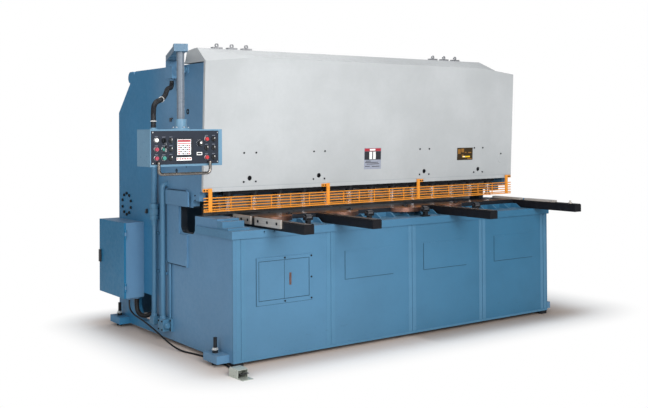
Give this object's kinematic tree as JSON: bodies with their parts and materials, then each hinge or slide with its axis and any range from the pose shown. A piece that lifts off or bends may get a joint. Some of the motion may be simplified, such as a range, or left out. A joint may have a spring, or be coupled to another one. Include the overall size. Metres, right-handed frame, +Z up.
{
  "type": "cnc hydraulic shear",
  "caption": "Hydraulic swing beam shear for steel plate, with throat frames, hold-downs, finger guard, support arms, back gauge and a control pendant.",
  "frame": {"origin": "on the floor under the middle of the machine's footprint, cords left out", "axes": "+X to the operator's right, +Y to the rear, +Z up"},
  "size_m": [3.584, 2.203, 2.073],
  "materials": {
    "blue_paint": "semi-gloss paint",
    "pale_blue_paint": "semi-gloss paint",
    "cover_paint": "semi-gloss paint",
    "orange_paint": "gloss paint",
    "black_paint": "satin paint",
    "ground_steel": "ground and oiled",
    "bolt_steel": "black oxide",
    "sheet_steel": "mill finish",
    "chromed_steel": "hard chrome",
    "panel_black": "satin film",
    "black_plastic": "moulded",
    "red_plastic": "moulded",
    "green_plastic": "moulded",
    "lamp_plastic": "moulded",
    "foot_switch_metal": "worn paint",
    "cable_rubber": "smooth"
  },
  "bodies": {
    "frame": {"side_frame_left": "blue_paint", "side_frame_right": "blue_paint", "bed_frame": "blue_paint", "front_covers": "blue_paint", "table_plate": "ground_steel", "lower_blade": "ground_steel", "beam_cover": "cover_paint", "top_cap": "cover_paint", "hold_down_beam": "black_paint", "hold_down_cylinders": "black_paint", "finger_guard": "orange_paint", "support_arms": "black_paint", "arm_fences": "ground_steel", "ball_units": "black_paint", "pivot_pins": "ground_steel", "main_cylinders": "black_paint", "levelling_bolts": "bolt_steel", "rear_crossbeams": "blue_paint", "sheet_chute": "sheet_steel", "oil_tank": "blue_paint", "pump_motor": "blue_paint", "valve_block": "ground_steel", "side_pipes": "blue_paint", "cabinet_body": "blue_paint", "control_gear": "sheet_steel", "pendant_bracket": "pale_blue_paint", "top_fittings": "chromed_steel", "foot_switch": "foot_switch_metal", "foot_cable": "cable_rubber", "cabinet_hose": "cable_rubber"},
    "swing_beam": {"swing_beam": "blue_paint", "upper_blade": "ground_steel", "gauge_rails": "ground_steel"},
    "main_rams": {"main_rams": "chromed_steel"},
    "hold_downs": {"hold_down_plungers": "chromed_steel"},
    "gauge_bar": {"gauge_bar": "ground_steel"},
    "gauge_screw_left": {"gauge_screw_left": "chromed_steel"},
    "gauge_screw_right": {"gauge_screw_right": "chromed_steel"},
    "cabinet_door": {"cabinet_door": "blue_paint"},
    "cabinet_handle": {"cabinet_handle": "black_plastic"},
    "pendant_arm": {"pendant_arm": "pale_blue_paint", "pendant_conduit": "cable_rubber"},
    "pendant": {"pendant_box": "pale_blue_paint", "control_panel": "panel_black", "pendant_handle": "chromed_steel", "panel_lamps": "lamp_plastic"},
    "foot_pedal": {"foot_pedal": "black_plastic"},
    "stop_button_upper": {"stop_button_upper": "red_plastic"},
    "stop_button_lower": {"stop_button_lower": "red_plastic"},
    "start_button_upper": {"start_button_upper": "green_plastic"},
    "start_button_lower": {"start_button_lower": "green_plastic"},
    "key_switch": {"key_switch": "chromed_steel"},
    "mode_selector_top": {"mode_selector_top": "black_plastic"},
    "mode_selector_middle": {"mode_selector_middle": "black_plastic"},
    "mode_selector_bottom": {"mode_selector_bottom": "black_plastic"},
    "speed_knob": {"speed_knob": "black_plastic"},
    "gauge_selector_inner": {"gauge_selector_inner": "black_plastic"},
    "gauge_selector_top": {"gauge_selector_top": "black_plastic"},
    "gauge_selector_middle": {"gauge_selector_middle": "black_plastic"},
    "gauge_selector_bottom": {"gauge_selector_bottom": "black_plastic"}
  },
  "joints": [
    {"name": "beam_swing", "type": "hinge", "parent": "frame", "child": "swing_beam", "pos_m": [0.252, 0.9385, 0.927], "axis": [1, 0, 0], "range_deg": [0, 4.65]},
    {"name": "ram_stroke", "type": "slide", "parent": "frame", "child": "main_rams", "axis": [0, 0, -1], "range_m": [0, 0.093]},
    {"name": "hold_down_stroke", "type": "slide", "parent": "frame", "child": "hold_downs", "axis": [0, 0, -1], "range_m": [0, 0.024], "stiffness_N_per_m": 15000, "springref_m": -0.03},
    {"name": "gauge_travel", "type": "slide", "parent": "swing_beam", "child": "gauge_bar", "axis": [0, 1, 0], "range_m": [0, 0.7]},
    {"name": "gauge_screw_left_turn", "type": "hinge", "parent": "swing_beam", "child": "gauge_screw_left", "pos_m": [-0.648, 0.3285, 0.985], "axis": [0, 1, 0], "range_deg": [0, 12610]},
    {"name": "gauge_screw_right_turn", "type": "hinge", "parent": "swing_beam", "child": "gauge_screw_right", "pos_m": [1.152, 0.3285, 0.985], "axis": [0, 1, 0], "range_deg": [0, 12610]},
    {"name": "cabinet_door_hinge", "type": "hinge", "parent": "frame", "child": "cabinet_door", "pos_m": [-1.346, 0.6295, 0.5], "axis": [0, 0, 1], "range_deg": [0, 110]},
    {"name": "cabinet_handle_turn", "type": "hinge", "parent": "cabinet_door", "child": "cabinet_handle", "pos_m": [-1.354, 1.0735, 0.532], "axis": [1, 0, 0], "range_deg": [0, 90]},
    {"name": "pendant_arm_swing", "type": "hinge", "parent": "frame", "child": "pendant_arm", "pos_m": [-1.248, 0.0685, 1.97], "axis": [0, 0, 1], "range_deg": [-60, 20]},
    {"name": "pendant_swivel", "type": "hinge", "parent": "pendant_arm", "child": "pendant", "pos_m": [-1.554, -0.6715, 1.52], "axis": [0, 0, 1], "range_deg": [-45, 45]},
    {"name": "foot_pedal_press", "type": "hinge", "parent": "frame", "child": "foot_pedal", "pos_m": [-1.27226, -0.86553, 0.012], "axis": [0.9986, 0.0523, 0], "range_deg": [0, 9], "stiffness_Nm_per_rad": 0.6, "springref_deg": -20.05},
    {"name": "stop_button_upper_press", "type": "slide", "parent": "pendant", "child": "stop_button_upper", "axis": [0, 1, 0], "range_m": [0, 0.004], "stiffness_N_per_m": 500, "springref_m": -0.004},
    {"name": "stop_button_lower_press", "type": "slide", "parent": "pendant", "child": "stop_button_lower", "axis": [0, 1, 0], "range_m": [0, 0.004], "stiffness_N_per_m": 500, "springref_m": -0.004},
    {"name": "start_button_upper_press", "type": "slide", "parent": "pendant", "child": "start_button_upper", "axis": [0, 1, 0], "range_m": [0, 0.004], "stiffness_N_per_m": 500, "springref_m": -0.004},
    {"name": "start_button_lower_press", "type": "slide", "parent": "pendant", "child": "start_button_lower", "axis": [0, 1, 0], "range_m": [0, 0.004], "stiffness_N_per_m": 500, "springref_m": -0.004},
    {"name": "key_turn", "type": "hinge", "parent": "pendant", "child": "key_switch", "pos_m": [-1.706, -0.7545, 1.424], "axis": [0, 1, 0], "range_deg": [0, 90]},
    {"name": "mode_selector_top_turn", "type": "hinge", "parent": "pendant", "child": "mode_selector_top", "pos_m": [-1.66, -0.7545, 1.424], "axis": [0, 1, 0], "range_deg": [-45, 45]},
    {"name": "mode_selector_middle_turn", "type": "hinge", "parent": "pendant", "child": "mode_selector_middle", "pos_m": [-1.66, -0.7545, 1.373], "axis": [0, 1, 0], "range_deg": [-45, 45]},
    {"name": "mode_selector_bottom_turn", "type": "hinge", "parent": "pendant", "child": "mode_selector_bottom", "pos_m": [-1.66, -0.7545, 1.321], "axis": [0, 1, 0], "range_deg": [-45, 45]},
    {"name": "speed_knob_turn", "type": "hinge", "parent": "pendant", "child": "speed_knob", "pos_m": [-1.47, -0.7545, 1.406], "axis": [0, 1, 0], "range_deg": [0, 270]},
    {"name": "gauge_selector_inner_turn", "type": "hinge", "parent": "pendant", "child": "gauge_selector_inner", "pos_m": [-1.424, -0.7545, 1.378], "axis": [0, 1, 0], "range_deg": [-45, 45]},
    {"name": "gauge_selector_top_turn", "type": "hinge", "parent": "pendant", "child": "gauge_selector_top", "pos_m": [-1.376, -0.7545, 1.431], "axis": [0, 1, 0], "range_deg": [-45, 45]},
    {"name": "gauge_selector_middle_turn", "type": "hinge", "parent": "pendant", "child": "gauge_selector_middle", "pos_m": [-1.376, -0.7545, 1.378], "axis": [0, 1, 0], "range_deg": [-45, 45]},
    {"name": "gauge_selector_bottom_turn", "type": "hinge", "parent": "pendant", "child": "gauge_selector_bottom", "pos_m": [-1.376, -0.7545, 1.321], "axis": [0, 1, 0], "range_deg": [-45, 45]}
  ],
  "couplings": [
    {"joint": "ram_stroke", "follows": "beam_swing", "m_per_rad": 1.1385},
    {"joint": "gauge_screw_left_turn", "follows": "gauge_travel", "rad_per_m": 314.16},
    {"joint": "gauge_screw_right_turn", "follows": "gauge_travel", "rad_per_m": 314.16}
  ]
}
